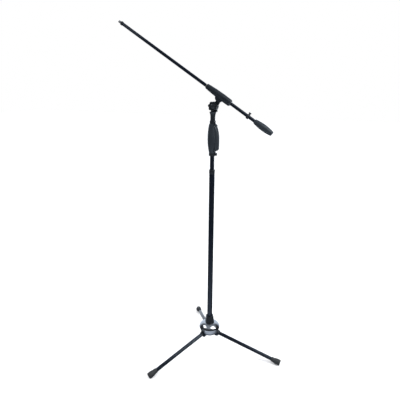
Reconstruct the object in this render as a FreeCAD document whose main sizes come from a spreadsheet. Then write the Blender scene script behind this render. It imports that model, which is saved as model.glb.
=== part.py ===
"""Boom microphone stand: folding tripod base, telescopic post with a squeeze grip, and a tilting boom.

The frame has +Z up. The boom lies in the XZ plane, with its microphone end towards -X and its
counterweight towards +X. The stand is drawn about the axis of its post, and then moved along X as a
whole, so that the origin is on the floor under the middle of its bounding box. All sizes are in
millimetres.
"""
import FreeCAD, Part
import math
import os
import Sketcher

doc = FreeCAD.newDocument("BoomStand")
WORLD_Y = FreeCAD.Vector(0, 1, 0)
WORLD_Z = FreeCAD.Vector(0, 0, 1)

# Driving dimensions, by region. Heights are above the floor.
SIZES = {
    # base
    "hub_radius": 46.2,
    "hub_height": 118.0,
    "hub_crown": 22.0,
    "hub_skirt": 5.5,
    "hub_wall": 3.0,
    "bowl_radius": 42.0,
    "bowl_foot_radius": 25.0,
    "bowl_bottom": 83.0,
    "boot_base": 22.4,
    "boot_top": 18.2,
    "boot_length": 33.0,
    "leg_count": 3.0,
    "leg_apex": 104.4,
    "leg_reach": 330.0,
    "foot_height": 11.0,
    "hinge_reach": 40.0,
    "hinge_drop": 5.2,
    "leg_radius": 8.0,
    "leg_wall": 1.4,
    "foot_radius": 13.0,
    "foot_length": 40.0,
    "bracket_wall": 2.4,
    "pin_radius": 3.0,
    # post
    "tube_foot": 92.5,
    "tube_top": 847.5,
    "outer_radius": 11.5,
    "outer_wall": 1.1,
    "inner_radius": 9.0,
    "inner_wall": 1.2,
    "inner_foot": 230.0,
    "play": 0.06,
    "gap": 0.1,
    "collar_radius": 12.0,
    "collar_length": 16.0,
    # release
    "rod_radius": 2.5,
    "rod_top": 998.0,
    "shoe_length": 34.0,
    "cone_rise": 3.0,
    "spring_radius": 4.6,
    "spring_wire": 0.7,
    "spring_pitch": 4.0,
    "spring_length": 32.0,
    # grip
    "grip_bottom": 906.5,
    "grip_ring": 11.5,
    "grip_top": 1034.0,
    "grip_radius": 20.0,
    "grip_wall": 2.4,
    "grip_cap": 6.0,
    "cap_top": 1046.5,
    "lever_radius": 12.8,
    "lever_centre": 15.8,
    "lever_belly": 23.2,
    "lever_wall": 2.2,
    "lever_pivot": 1026.0,
    "lever_pin_offset": 12.6,
    # tilt joint
    "neck_radius": 10.0,
    "neck_flare": 14.2,
    "pivot_height": 1102.0,
    "disc_radius": 18.2,
    "disc_near": 3.0,
    "disc_far": 10.0,
    "ear_near": 11.0,
    "ear_far": 18.5,
    "bolt_radius": 4.0,
    "knob_radius": 20.0,
    "knob_lobes": 7.0,
    "knob_depth": 10.5,
    # boom
    "boom_elevation": 33.2,
    "boom_offset": 49.8,
    "boom_radius": 6.5,
    "boom_wall": 1.0,
    "boom_tip": 510.6,
    "boom_tail": 253.4,
    "sleeve_tip": 64.6,
    "sleeve_tail": 54.0,
    "sleeve_thin": 10.4,
    "sleeve_thick": 14.2,
    "bush_wall": 1.5,
    "stud_radius": 4.76,
    "stud_length": 12.7,
    "tip_collar_radius": 7.9,
    "tip_collar_length": 8.0,
    "clip_place": 138.5,
    "clip_length": 14.0,
    "weight_length": 83.5,
    "weight_radius": 13.3,
}
LEGS = range(int(SIZES["leg_count"]))


class Size:
    """A number together with the spreadsheet formula that gives it."""

    def __init__(self, value, formula):
        self.value = float(value)
        self.formula = formula

    def combined(self, other, sign, value):
        return Size(value, "(%s %s %s)" % (self.formula, sign, as_size(other).formula))

    def __add__(self, other):
        return self.combined(other, "+", self.value + as_size(other).value)

    def __sub__(self, other):
        return self.combined(other, "-", self.value - as_size(other).value)

    def __mul__(self, other):
        return self.combined(other, "*", self.value * as_size(other).value)

    def __truediv__(self, other):
        return self.combined(other, "/", self.value / as_size(other).value)

    def __neg__(self):
        return Size(-self.value, "(0 - %s)" % self.formula)


def as_size(number):
    return number if isinstance(number, Size) else Size(number, "%.6g" % number)


def write_sheet():
    """The driving dimensions as a spreadsheet, and the same dimensions as Size values."""
    sheet = doc.addObject("Spreadsheet::Sheet", "Sizes")
    sizes = {}
    for row, (alias, value) in enumerate(SIZES.items(), start=1):
        sheet.set("A%d" % row, alias)
        sheet.set("B%d" % row, "%.6g" % value)
        sheet.setAlias("B%d" % row, alias)
        sizes[alias] = Size(value, "Sizes." + alias)
    doc.recompute()
    return sizes


def bind(item, **properties):
    """Set numeric properties of an object from sizes."""
    for name, size in properties.items():
        setattr(item, name, as_size(size).value)
        item.setExpression(name, as_size(size).formula)


def shift(item, x=0.0, y=0.0, z=0.0):
    """Move an object by sizes, keeping its turn."""
    for axis, size in zip("xyz", (x, y, z)):
        item.setExpression("Placement.Base." + axis, as_size(size).formula)
    turn = item.Placement.Rotation
    item.Placement = FreeCAD.Placement(
        FreeCAD.Vector(as_size(x).value, as_size(y).value, as_size(z).value), turn)


def turn(item, axis, degrees):
    """Turn an object about an axis through its own origin."""
    item.Placement = FreeCAD.Placement(item.Placement.Base, FreeCAD.Rotation(axis, degrees))


# ---------------------------------------------------------------- building blocks

def cylinder(name, radius, length, x=0.0, y=0.0, z=0.0, axis="Z"):
    """A cylinder that starts at the given point and runs along +X, +Y or +Z."""
    item = doc.addObject("Part::Cylinder", name)
    bind(item, Radius=radius, Height=length)
    if axis == "X":
        turn(item, WORLD_Y, 90)
    if axis == "Y":
        turn(item, FreeCAD.Vector(1, 0, 0), -90)
    shift(item, x, y, z)
    return item


def box(name, x_range, y_range, z_range):
    """A box between low and high coordinates."""
    item = doc.addObject("Part::Box", name)
    spans = [as_size(high) - low for low, high in (x_range, y_range, z_range)]
    bind(item, Length=spans[0], Width=spans[1], Height=spans[2])
    shift(item, x_range[0], y_range[0], z_range[0])
    return item


def moved(item, placement):
    """Carry an object, with its own offset, into another frame."""
    offset = item.Placement
    for axis in "xyz":
        item.setExpression("Placement.Base." + axis, None)
    item.Placement = placement.multiply(offset)
    return item


def cut(name, base, *tools):
    """The base with the tools taken away one after another."""
    for index, tool in enumerate(tools):
        last = index == len(tools) - 1
        item = doc.addObject("Part::Cut", name if last else "%s_cut%d" % (name, index))
        item.Base = base
        item.Tool = tool
        base = item
    return base


def fuse(name, *shapes):
    item = doc.addObject("Part::MultiFuse", name)
    item.Shapes = list(shapes)
    item.Refine = True
    return item


def common(name, first, second):
    item = doc.addObject("Part::Common", name)
    item.Base = first
    item.Tool = second
    return item


def pipe(name, radius, wall, bottom, top):
    """A straight tube on the Z axis."""
    length = as_size(top) - bottom
    outer = cylinder(name + "_outer", radius, length, z=bottom)
    bore = cylinder(name + "_bore", as_size(radius) - wall, length + 2.0, z=as_size(bottom) - 1.0)
    return cut(name, outer, bore)


def ring(name, outer_radius, bore_radius, bottom, top):
    return pipe(name, outer_radius, as_size(outer_radius) - bore_radius, bottom, top)


def sketch_on(body, plane, name, offset=0.0):
    """An empty sketch on one of the body's own origin planes, moved along the plane's normal."""
    sketch = body.newObject("Sketcher::SketchObject", name)
    support = [item for item in body.Origin.OriginFeatures if item.Role == plane][0]
    sketch.AttachmentSupport = (support, [""])
    sketch.MapMode = "FlatFace"
    sketch.setExpression("AttachmentOffset.Base.z", as_size(offset).formula)
    sketch.AttachmentOffset = FreeCAD.Placement(
        FreeCAD.Vector(0, 0, as_size(offset).value), FreeCAD.Rotation())
    return sketch


def hold_point(sketch, edge, end, corner):
    """Fix one end of an edge at a corner's two sizes."""
    for kind, size in zip(("DistanceX", "DistanceY"), corner):
        size = as_size(size)
        index = sketch.addConstraint(Sketcher.Constraint(kind, -1, 1, edge, end, size.value))
        sketch.setExpression("Constraints[%d]" % index, size.formula)


def arc_between(start, end, radius, side):
    """The arc edge from start to end; side +1 turns left on the way, -1 turns right."""
    chord = end - start
    half = chord.Length / 2
    rise = math.sqrt(max(radius * radius - half * half, 0.0))
    left = FreeCAD.Vector(-chord.y, chord.x, 0).normalize()
    centre = (start + end) * 0.5 + left * (side * rise)
    first, last = (start, end) if side > 0 else (end, start)
    circle = Part.Circle(centre, WORLD_Z, radius)
    angles = [math.atan2(point.y - centre.y, point.x - centre.x) for point in (first, last)]
    return Part.ArcOfCircle(circle, angles[0], angles[1])


def outline(sketch, corners):
    """A closed outline. A corner is (x, y), or (x, y, radius, side) where an arc leaves it."""
    points = [FreeCAD.Vector(as_size(c[0]).value, as_size(c[1]).value, 0) for c in corners]
    for index, corner in enumerate(corners):
        start = points[index]
        end = points[(index + 1) % len(points)]
        if len(corner) == 2:
            edge = sketch.addGeometry(Part.LineSegment(start, end))
            hold_point(sketch, edge, 1, corner)
            tail = 2
        else:
            radius = as_size(corner[2])
            edge = sketch.addGeometry(arc_between(start, end, radius.value, corner[3]))
            hold_point(sketch, edge, 1 if corner[3] > 0 else 2, corner[:2])
            tail = 2 if corner[3] > 0 else 1
            place = sketch.addConstraint(Sketcher.Constraint("Radius", edge, radius.value))
            sketch.setExpression("Constraints[%d]" % place, radius.formula)
        if index:
            sketch.addConstraint(Sketcher.Constraint("Coincident", last[0], last[1], edge, 3 - tail))
        last = (edge, tail)
    head = 1 if len(corners[0]) == 2 or corners[0][3] > 0 else 2
    sketch.addConstraint(Sketcher.Constraint("Coincident", last[0], last[1], 0, head))


def swell(rise, run):
    """Radius of the arc that rises this far over this run and ends parallel to the run."""
    rise = as_size(rise)
    run = as_size(run)
    return (run * run + rise * rise) / (rise * 2.0)


def turned(name, corners):
    """A body turned about Z from an outline of (radius, height) corners."""
    body = doc.addObject("PartDesign::Body", name)
    sketch = sketch_on(body, "XZ_Plane", name + "_profile")
    outline(sketch, corners)
    feature = body.newObject("PartDesign::Revolution", name + "_turn")
    feature.Profile = sketch
    feature.ReferenceAxis = (sketch, ["V_Axis"])
    feature.Angle = 360
    body.Tip = feature
    return body


def padded(name, corners, length, plane="XY_Plane", offset=0.0, taper=None):
    """A body padded from an outline on an origin plane."""
    body = doc.addObject("PartDesign::Body", name)
    sketch = sketch_on(body, plane, name + "_profile", offset)
    outline(sketch, corners)
    feature = body.newObject("PartDesign::Pad", name + "_pad")
    feature.Profile = sketch
    bind(feature, Length=length)
    if taper is not None:
        bind(feature, TaperAngle=taper)
    body.Tip = feature
    return body


def finished(item, label, placement=None):
    """Name a sub-part and put it in its place."""
    item.Label = label
    if placement is not None:
        item.Placement = placement
    PARTS.append(item)
    return item


def group(name, items):
    """Several separate solids of one kind as one sub-part."""
    item = doc.addObject("Part::Compound", name)
    item.Links = items
    return item


def azimuth(index):
    """Placement of leg number 0, 1 or 2 about the post."""
    angle = 360.0 / D["leg_count"].value * index
    return FreeCAD.Placement(FreeCAD.Vector(), FreeCAD.Rotation(WORLD_Z, angle))


# ---------------------------------------------------------------- base

def hub():
    """Domed metal cover, the bowl under it, and the screw that ties both to the post."""
    rim = D["hub_height"]
    skirt = rim - D["hub_skirt"]
    crown = rim + D["hub_crown"]
    wall = D["hub_wall"]
    hole = D["outer_radius"] + D["gap"]
    shoulder = (D["hub_radius"] - 6.6, rim + 13.0)
    dome = turned("dome", [
        (D["hub_radius"] - 0.8, skirt, 20.0, 1),
        (D["hub_radius"], rim, 16.0, 1),
        (shoulder[0], shoulder[1], 33.0, 1),
        (D["boot_base"] - 2.0, crown),
        (hole, crown),
        (hole, crown - wall),
        (D["boot_base"] - 2.0, crown - wall, 30.0, -1),
        (shoulder[0] - 1.7, shoulder[1] - 2.5, 13.0, -1),
        (D["hub_radius"] - wall, rim),
        (D["hub_radius"] - wall - 0.5, skirt)])
    finished(dome, "hub_dome")

    floor = D["bowl_bottom"]
    top = skirt - 0.3
    seat = D["tube_foot"] - D["gap"]
    bowl = turned("bowl", [
        (D["bolt_radius"] + 0.2, floor),
        (D["bowl_foot_radius"], floor, 30.0, 1),
        (D["bowl_radius"], top),
        (D["bowl_radius"] - wall, top, 27.0, -1),
        (D["bowl_foot_radius"] - 1.5, floor + wall),
        (15.0, floor + wall),
        (15.0, seat + 12.0),
        (hole, seat + 12.0),
        (hole, seat),
        (D["bolt_radius"] + 0.2, seat)])
    slots = []
    for index in LEGS:
        slot = box("bracket_slot%d" % index, (-14.1, 20.0), (-10.8, 10.8), (-12.0, 16.0))
        slots.append(moved(slot, azimuth(index).multiply(HINGE)))
    finished(cut("bowl_slotted", bowl, *slots), "hub_bowl")

    plug = ring("plug", D["outer_radius"] - D["outer_wall"] - 0.05, D["bolt_radius"] + 0.05,
                D["tube_foot"] + 1.0, D["tube_foot"] + 30.0)
    finished(plug, "tube_plug")
    washer = ring("washer", 11.0, D["bolt_radius"] + 0.2, floor - 1.6, floor)
    finished(washer, "hub_washer")
    head = polygon_prism("bolt_head", 6, 7.5, floor - 7.0, 5.3)
    shank = cylinder("bolt_shank", D["bolt_radius"], 34.0, z=floor - 3.0)
    finished(fuse("bolt", head, shank), "hub_bolt")


def polygon_prism(name, sides, radius, bottom, length, taper=None):
    """A regular prism about Z, with a corner on +X."""
    step = 2 * math.pi / sides
    corners = [(as_size(radius) * math.cos(step * index), as_size(radius) * math.sin(step * index))
               for index in range(sides)]
    return padded(name, corners, length, offset=bottom, taper=taper)


def rounded(body, radius, wanted):
    """Round the edges of a body that the test picks."""
    doc.recompute()
    base = body.Tip
    names = ["Edge%d" % (number + 1) for number, edge in enumerate(base.Shape.Edges) if wanted(edge)]
    fillet = body.newObject("PartDesign::Fillet", body.Name + "_round")
    fillet.Base = (base, names)
    bind(fillet, Radius=radius)
    body.Tip = fillet
    return body


def boot():
    """The six-sided tapering collar that covers the foot of the post."""
    bottom = D["hub_height"] + D["hub_crown"] + 0.1
    slope = (D["boot_base"] - D["boot_top"]) * math.cos(math.pi / 6) / D["boot_length"]
    taper = Size(-math.degrees(math.atan(slope.value)), "(0 - atan(%s) / 1 deg)" % slope.formula)
    blank = polygon_prism("boot_blank", 6, D["boot_base"], bottom, D["boot_length"], taper)
    rounded(blank, 3.0, lambda edge: abs(edge.tangentAt(edge.FirstParameter).z) > 0.5)
    bore = cylinder("boot_bore", D["outer_radius"] + D["gap"], D["boot_length"] + 2.0, z=bottom - 1.0)
    finished(cut("boot", blank, bore), "post_boot")


def bracket(index):
    """Two cheeks on a back plate that hold one leg's hinge, in the hinge's frame, leg along +X."""
    half = D["leg_radius"] + 0.3
    outer = half + D["bracket_wall"]
    name = "bracket%d" % index
    arm = box(name + "_arm", (-14.0, 0.0), (-outer, outer), (-8.0, 13.0))
    end = cylinder(name + "_end", 7.4, outer * 2, y=-outer, axis="Y")
    channel = box(name + "_channel", (-11.2, 14.0), (-half, half), (-20.0, 20.0))
    hole = cylinder(name + "_hole", D["pin_radius"] + 0.02, 40.0, y=-20.0, axis="Y")
    body = cut(name, fuse(name + "_blank", arm, end), channel, hole)
    finished(body, "leg_bracket_%d" % (index + 1), azimuth(index).multiply(HINGE))


def leg_pins():
    """The three riveted hinge pins."""
    outer = D["leg_radius"] + 0.3 + D["bracket_wall"]
    pins = []
    for index in LEGS:
        name = "pin%d" % index
        shank = cylinder(name + "_shank", D["pin_radius"], outer * 2 + 1.0, y=-outer - 0.5, axis="Y")
        heads = [cylinder(name + "_head_a", 4.6, 1.5, y=outer + 0.02, axis="Y"),
                 cylinder(name + "_head_b", 4.6, 1.5, y=-outer - 1.52, axis="Y")]
        pin = fuse(name, shank, *heads)
        pin.Placement = azimuth(index).multiply(HINGE)
        pins.append(pin)
    finished(group("pins", pins), "leg_hinge_pins")


def leg(index):
    """Hinge knuckle, tube and rubber foot of one leg, along +X from its hinge."""
    name = "leg%d" % index
    number = "_%d" % (index + 1)
    place = azimuth(index).multiply(HINGE)
    half = D["leg_radius"] - 0.2
    drop = D["hinge_drop"]
    tube_start = 9.0
    barrel = cylinder(name + "_barrel", 6.6, half * 2, y=-half, axis="Y")
    block = box(name + "_block", (-6.6, tube_start), (-half, half), (0.0, drop + half))
    plug = cylinder(name + "_plug", D["leg_radius"] - D["leg_wall"] - 0.05, 26.0, x=7.0, z=drop,
                    axis="X")
    hole = cylinder(name + "_hole", D["pin_radius"] + D["play"], 30.0, y=-15.0, axis="Y")
    knuckle = cut(name + "_knuckle", fuse(name + "_blank", barrel, block, plug), hole)
    finished(knuckle, "leg_knuckle" + number, place)

    length = LEG_LENGTH
    outer = cylinder(name + "_outer", D["leg_radius"], length - tube_start - 6.0, x=tube_start + 0.1,
                     z=drop, axis="X")
    bore = cylinder(name + "_bore", D["leg_radius"] - D["leg_wall"], length, x=tube_start - 1.0,
                    z=drop, axis="X")
    finished(cut(name + "_tube", outer, bore), "leg_tube" + number, place)

    neck = length - D["foot_length"]
    blank = turned(name + "_foot_blank", [
        (0.0, length - 5.8),
        (D["leg_radius"] + 0.05, length - 5.8),
        (D["leg_radius"] + 0.05, neck),
        (D["leg_radius"] + 1.6, neck),
        (D["leg_radius"] + 2.2, neck + 8.0, 30.0, -1),
        (D["foot_radius"], neck + 24.0),
        (D["foot_radius"], length - 3.0, 3.0, 1),
        (D["foot_radius"] - 3.0, length),
        (0.0, length)])
    along = FreeCAD.Placement(FreeCAD.Vector(0, 0, drop.value), FreeCAD.Rotation(WORLD_Y, 90))
    blank.Placement = HINGE.multiply(along)
    ground = box(name + "_ground", (D["leg_reach"] - 80.0, D["leg_reach"] + 30.0), (-30.0, 30.0),
                 (-30.0, 0.0))
    finished(cut(name + "_foot", blank, ground), "foot" + number, azimuth(index))


# ---------------------------------------------------------------- post and release

def post():
    """Outer tube with its guide collar, and the tube that slides in it."""
    outer_bore = D["outer_radius"] - D["outer_wall"]
    finished(pipe("outer", D["outer_radius"], D["outer_wall"], D["tube_foot"], D["tube_top"]),
             "outer_tube")
    top = D["tube_top"] + 1.6
    bore = D["inner_radius"] + D["play"]
    skirt = D["tube_top"] - D["collar_length"]
    collar = turned("collar", [
        (bore, skirt - 42.0),
        (outer_bore - 0.05, skirt - 42.0),
        (outer_bore - 0.05, D["tube_top"] + 0.1),
        (D["outer_radius"] + 0.05, D["tube_top"] + 0.1),
        (D["outer_radius"] + 0.05, skirt),
        (D["collar_radius"], skirt),
        (D["collar_radius"], top - 1.2),
        (D["collar_radius"] - 1.2, top),
        (bore, top)])
    finished(collar, "tube_collar")

    tube = pipe("inner", D["inner_radius"], D["inner_wall"], D["inner_foot"], D["cap_top"])
    pin_height = D["rod_top"] - 6.0
    window = box("window", (0.0, 12.0), (-2.6, 2.6), (pin_height - 5.6, pin_height + 2.6))
    finished(cut("inner_windowed", tube, window), "inner_tube")


def brake():
    """Release rod, the cone on its end and the split shoe that the cone spreads."""
    foot = D["inner_foot"] - D["shoe_length"]
    cone_bottom = D["shoe_length"] * 0.24
    cone = doc.addObject("Part::Cone", "cone_blank")
    bind(cone, Radius1=cone_bottom, Radius2=cone_bottom - D["cone_rise"],
         Height=D["shoe_length"] - 4.0)
    shift(cone, z=foot)
    rod_hole = cylinder("cone_hole", D["rod_radius"] + 0.04, 60.0, z=foot - 5.0)
    finished(cut("cone", cone, rod_hole), "brake_cone")

    spread = doc.addObject("Part::Cone", "shoe_taper")
    bind(spread, Radius1=cone_bottom + 0.1, Radius2=cone_bottom - D["cone_rise"] + 0.1,
         Height=D["shoe_length"] - 4.0)
    shift(spread, z=foot)
    blank = cylinder("shoe_blank", D["outer_radius"] - D["outer_wall"] - D["play"],
                     D["shoe_length"] - 2.5, z=foot + 2.0)
    throat = cylinder("shoe_throat", cone_bottom - D["cone_rise"] + 0.1, 20.0,
                      z=foot + D["shoe_length"] - 4.2)
    slit = box("shoe_slit", (0.0, 15.0), (-0.6, 0.6), (foot - 1.0, foot + D["shoe_length"] + 1.0))
    finished(cut("shoe", blank, spread, throat, slit), "brake_shoe")

    pin_height = D["rod_top"] - 6.0
    rod = cylinder("rod_blank", D["rod_radius"], D["rod_top"] - foot - 3.0, z=foot + 3.0)
    cross = cylinder("rod_cross", 1.42, 20.0, x=-10.0, z=pin_height, axis="X")
    finished(cut("rod", rod, cross), "release_rod")
    finished(cylinder("release_pin_blank", 1.4, 13.4, x=-2.9, z=pin_height, axis="X"), "release_pin")

    spring_bottom = pin_height - 12.0 - D["spring_length"]
    guide = ring("guide", D["inner_radius"] - D["inner_wall"] - 0.05, D["rod_radius"] + D["play"],
                 spring_bottom - 10.0, spring_bottom - 0.1)
    finished(guide, "rod_guide")
    stop = ring("stop", 6.4, D["rod_radius"] + 0.04, spring_bottom + D["spring_length"] + 0.1,
                spring_bottom + D["spring_length"] + 4.0)
    finished(stop, "rod_stop")
    spring(spring_bottom)


def spring(bottom):
    """The return spring around the release rod."""
    wire = D["spring_wire"]
    helix = doc.addObject("Part::Helix", "spring_path")
    bind(helix, Pitch=D["spring_pitch"], Height=D["spring_length"] - wire * 2 - 0.2,
         Radius=D["spring_radius"])
    section = doc.addObject("Part::Circle", "spring_section")
    bind(section, Radius=wire)
    turn(section, FreeCAD.Vector(1, 0, 0), 90)
    shift(section, x=D["spring_radius"])
    coil = doc.addObject("Part::Sweep", "coil")
    coil.Sections = [section]
    doc.recompute()
    coil.Spine = (helix, ["Edge%d" % (index + 1) for index in range(len(helix.Shape.Edges))])
    coil.Solid = True
    coil.Frenet = True
    shift(coil, z=bottom + wire + 0.1)
    finished(coil, "rod_spring")


# ---------------------------------------------------------------- grip

def grip():
    """The two grip shells with their screws, the rings above and below, and the lever's hinge."""
    base = D["grip_bottom"] + D["grip_ring"] + 0.5
    top = D["grip_top"] - 0.2
    waist = base + 58.0
    bore = D["inner_radius"] + 0.05
    wall = D["grip_wall"]
    cap = D["grip_cap"]
    widest = D["grip_radius"]
    foot_narrowing = 6.3
    head_narrowing = 5.6
    shell = turned("grip_blank", [
        (widest - foot_narrowing, base, swell(foot_narrowing, waist - base), 1),
        (widest, waist, swell(head_narrowing, top - waist), 1),
        (widest - head_narrowing, top),
        (bore, top),
        (bore, top - cap),
        (widest - head_narrowing - wall, top - cap, swell(head_narrowing, top - cap - waist), -1),
        (widest - wall, waist, swell(foot_narrowing, waist - base - cap), -1),
        (widest - foot_narrowing - wall, base + cap),
        (bore, base + cap),
        (bore, base)])
    recess = box("recess", (2.5, 40.0), (-13.3, 13.3), (base + cap - 1.5, top + 1.0))
    bosses = []
    holes = []
    screws = []
    for index, height in enumerate((waist - 22.0, waist + 20.0)):
        name = "grip_screw%d" % index
        across = -12.6
        bosses.append(cylinder(name + "_boss", 3.4, 23.0, x=across, y=-11.5, z=height, axis="Y"))
        holes.append(cylinder(name + "_hole", 1.45, 20.0, x=across, y=-9.2, z=height, axis="Y"))
        holes.append(cylinder(name + "_recess", 2.8, 10.0, x=across, y=10.5, z=height, axis="Y"))
        shank = cylinder(name + "_shank", 1.4, 19.6, x=across, y=-9.0, z=height, axis="Y")
        head = cylinder(name + "_head", 2.6, 1.7, x=across, y=10.55, z=height, axis="Y")
        screws.append(fuse(name, shank, head))
    whole = cut("grip_whole", fuse("grip_bossed", shell, *bosses), recess, *holes)
    near_half = box("near_half", (-40.0, 40.0), (-40.0, -0.02), (base - 5.0, top + 5.0))
    far_half = box("far_half", (-40.0, 40.0), (0.02, 40.0), (base - 5.0, top + 5.0))
    finished(common("shell_near", whole, near_half), "grip_shell_near")
    finished(common("shell_far", whole, far_half), "grip_shell_far")
    finished(group("grip_screw_group", screws), "grip_screws")

    lip = cylinder("ring_lip", 10.5, D["grip_ring"] - 1.5, x=9.9, z=D["grip_bottom"] + 1.5)
    collar = cylinder("ring_collar", 14.0, D["grip_ring"], z=D["grip_bottom"])
    ring_bore = cylinder("ring_bore", bore, 40.0, z=D["grip_bottom"] - 5.0)
    finished(cut("lower_ring", fuse("ring_blank", collar, lip), ring_bore), "grip_lower_ring")

    tab_half = 4.0
    pin_x = D["lever_pin_offset"] - 1.1
    cap_ring = cylinder("cap_ring", 12.2, D["cap_top"] - D["grip_top"], z=D["grip_top"])
    tab = box("cap_tab", (9.3, pin_x + 2.6), (-tab_half, tab_half),
              (D["lever_pivot"] - 7.0, D["grip_top"] + 1.5))
    cap_bore = cylinder("cap_bore", bore, 60.0, z=D["lever_pivot"] - 20.0)
    pin_hole = cylinder("cap_pin_hole", 2.02, 30.0, x=pin_x, y=-15.0, z=D["lever_pivot"], axis="Y")
    finished(cut("cap", fuse("cap_blank", cap_ring, tab), cap_bore, pin_hole), "grip_cap")
    finished(cylinder("lever_pin_blank", 2.0, 21.0, x=pin_x, y=-10.5, z=D["lever_pivot"], axis="Y"),
             "lever_pin")


def bowed_rod(name, radius, belly, low, high):
    """A round rod whose outer side is bowed: a rod and a barrel on two axes, intersected."""
    middle = D["grip_bottom"] + D["grip_ring"] + 54.0
    foot_narrowing = 1.2
    head_narrowing = 11.5
    barrel = turned(name + "_barrel", [
        (0.0, low),
        (belly - foot_narrowing, low, swell(foot_narrowing, middle - low), 1),
        (belly, middle, swell(head_narrowing, as_size(high) - middle), 1),
        (belly - head_narrowing, high),
        (0.0, high)])
    shift(barrel, x=5.0)
    rod = cylinder(name + "_rod", radius, 150.0, x=D["lever_centre"], z=as_size(low) - 10.0)
    return common(name, barrel, rod)


def lever():
    """The hollow squeeze lever, bowed outwards and open towards the post, with two hinge ears."""
    base = D["grip_bottom"] + D["grip_ring"]
    pivot = D["lever_pivot"]
    top = pivot + 5.0
    wall = D["lever_wall"]
    belly = D["lever_belly"]
    skin = bowed_rod("lever_skin", D["lever_radius"], belly, base + 2.0, top)
    hollow = bowed_rod("lever_hollow", D["lever_radius"] - wall, belly - wall, base, top + 2.0)
    end_cut = box("lever_end_cut", (-10.0, 40.0), (-30.0, 30.0), (-30.0, 0.0))
    moved(end_cut, FreeCAD.Placement(
        FreeCAD.Vector(12.0, 0, (base + 4.5).value), FreeCAD.Rotation(WORLD_Y, -36)))
    cam = box("lever_cam", (12.6, 23.0), (-2.5, 2.5), (D["rod_top"] - 3.6, D["rod_top"] + 8.0))
    pin_x = D["lever_pin_offset"] - 1.1
    ears = [cylinder("lever_ear%d" % side, 6.0, 6.0, x=pin_x, y=start, z=pivot, axis="Y")
            for side, start in enumerate((4.4, -10.4))]
    blank = fuse("lever_blank", cut("lever_shell", skin, hollow, end_cut), cam, *ears)
    mouth = box("lever_mouth", (-40.0, -pin_x + 8.4), (-30.0, 30.0), (-125.0, 25.0))
    moved(mouth, FreeCAD.Placement(
        FreeCAD.Vector(pin_x.value, 0, pivot.value), FreeCAD.Rotation(WORLD_Y, -3.2)))
    hole = cylinder("lever_hole", 2.06, 40.0, x=pin_x, y=-20.0, z=pivot, axis="Y")
    finished(cut("lever", blank, mouth, hole), "squeeze_lever")


# ---------------------------------------------------------------- tilt joint

def neck():
    """The head of the post: a flared neck with one ear, and the washers and nut of the tilt joint."""
    start = D["cap_top"] + 0.1
    flare_top = D["pivot_height"] - D["knob_radius"] - 0.8
    stem = turned("neck_stem", [
        (0.0, start - 26.0),
        (D["inner_radius"] - D["inner_wall"] - 0.05, start - 26.0),
        (D["inner_radius"] - D["inner_wall"] - 0.05, start),
        (D["neck_radius"], start),
        (D["neck_radius"], flare_top - 23.0, 48.0, -1),
        (D["neck_flare"], flare_top),
        (0.0, flare_top)])
    near = D["ear_near"]
    far = D["ear_far"]
    plate = padded("ear_plate", [
        (near - 5.0, flare_top - 14.0),
        (far, flare_top),
        (far, D["pivot_height"]),
        (near, D["pivot_height"]),
        (near, flare_top),
        (near - 5.0, flare_top)], 18.0, plane="YZ_Plane", offset=-9.0)
    web = box("ear_web", (-13.5, 13.5), (near, far), (flare_top - 1.0, D["pivot_height"]))
    disc = cylinder("ear_disc", D["disc_radius"], far - near, y=near, z=D["pivot_height"], axis="Y")
    hole = cylinder("ear_hole", D["bolt_radius"] + 0.1, 40.0, y=-5.0, z=D["pivot_height"], axis="Y")
    pocket = hexagon_across_y("ear_pocket", 7.6, far - 4.0, 10.0)
    finished(cut("neck", fuse("neck_blank", stem, plate, web, disc), hole, pocket), "neck_yoke")

    nut = hexagon_across_y("nut_blank", 7.5, far - 3.9, 6.0)
    nut_hole = cylinder("nut_hole", D["bolt_radius"] + 0.05, 30.0, z=D["pivot_height"], axis="Y")
    finished(cut("nut", nut, nut_hole), "pivot_nut")
    washer = disc_across_y("friction", D["disc_radius"] - 1.0, D["disc_far"] + 0.05, near - 0.05)
    finished(washer, "friction_washer")


def hexagon_across_y(name, radius, near, depth):
    """A six-sided prism along +Y on the tilt axis."""
    prism = polygon_prism(name, 6, radius, 0.0, depth)
    prism.Placement = FreeCAD.Placement(
        FreeCAD.Vector(0, as_size(near).value, D["pivot_height"].value),
        FreeCAD.Rotation(FreeCAD.Vector(1, 0, 0), -90))
    return prism


def disc_across_y(name, radius, near, far):
    """A washer on the tilt axis."""
    blank = cylinder(name + "_blank", radius, as_size(far) - near, y=near, z=D["pivot_height"],
                     axis="Y")
    hole = cylinder(name + "_hole", D["bolt_radius"] + 0.1, 60.0, y=-30.0, z=D["pivot_height"],
                    axis="Y")
    return cut(name, blank, hole)


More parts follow.
